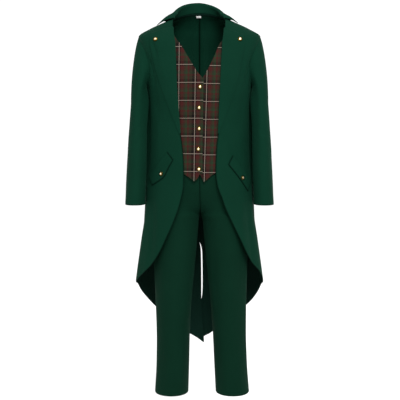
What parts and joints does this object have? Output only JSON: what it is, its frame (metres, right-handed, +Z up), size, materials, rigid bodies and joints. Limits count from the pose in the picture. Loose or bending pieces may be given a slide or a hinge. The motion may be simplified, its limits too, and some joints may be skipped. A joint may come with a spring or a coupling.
{
  "type": "tailcoat costume",
  "caption": "Hollow dress set, filled out as if worn: long cutaway tailcoat with broad lapels and slanted pocket flaps, tartan waistcoat with domed buttons, and straight trousers.",
  "frame": {"origin": "midway between the shoulders, where the set hangs on what wears or holds it", "axes": "+Z up; the front of the set faces -Y; +X is the wearer's left"},
  "size_m": [0.5424, 0.3335, 1.4433],
  "materials": {
    "coat_cloth": "dark green napped twill",
    "trouser_cloth": "dark green plain twill",
    "tartan_cloth": "red, green and navy tartan twill with white lines",
    "waistcoat_back": "dark green lining cloth",
    "gold_buttons": "polished gold colour",
    "label": "white woven tape, blank"
  },
  "bodies": {
    "root": {"coat_front_right": "coat_cloth", "coat_front_left": "coat_cloth", "coat_back_right": "coat_cloth", "coat_back_left": "coat_cloth", "sleeve_right": "coat_cloth", "sleeve_left": "coat_cloth", "lapel_right": "coat_cloth", "lapel_left": "coat_cloth", "collar": "coat_cloth", "neck_label": "label", "pocket_flap_right": "coat_cloth", "pocket_flap_left": "coat_cloth", "vest_front_right": "tartan_cloth", "vest_front_left": "tartan_cloth", "vest_back_right": "waistcoat_back", "vest_back_left": "waistcoat_back", "trouser_waistband": "trouser_cloth", "trouser_front_right": "trouser_cloth", "trouser_front_left": "trouser_cloth", "trouser_back_right": "trouser_cloth", "trouser_back_left": "trouser_cloth", "vest_button_1": "gold_buttons", "vest_button_2": "gold_buttons", "vest_button_3": "gold_buttons", "vest_button_4": "gold_buttons", "vest_button_5": "gold_buttons", "lapel_button_right": "gold_buttons", "lapel_button_left": "gold_buttons", "flap_button_right": "gold_buttons", "flap_button_left": "gold_buttons"}
  },
  "joints": []
}
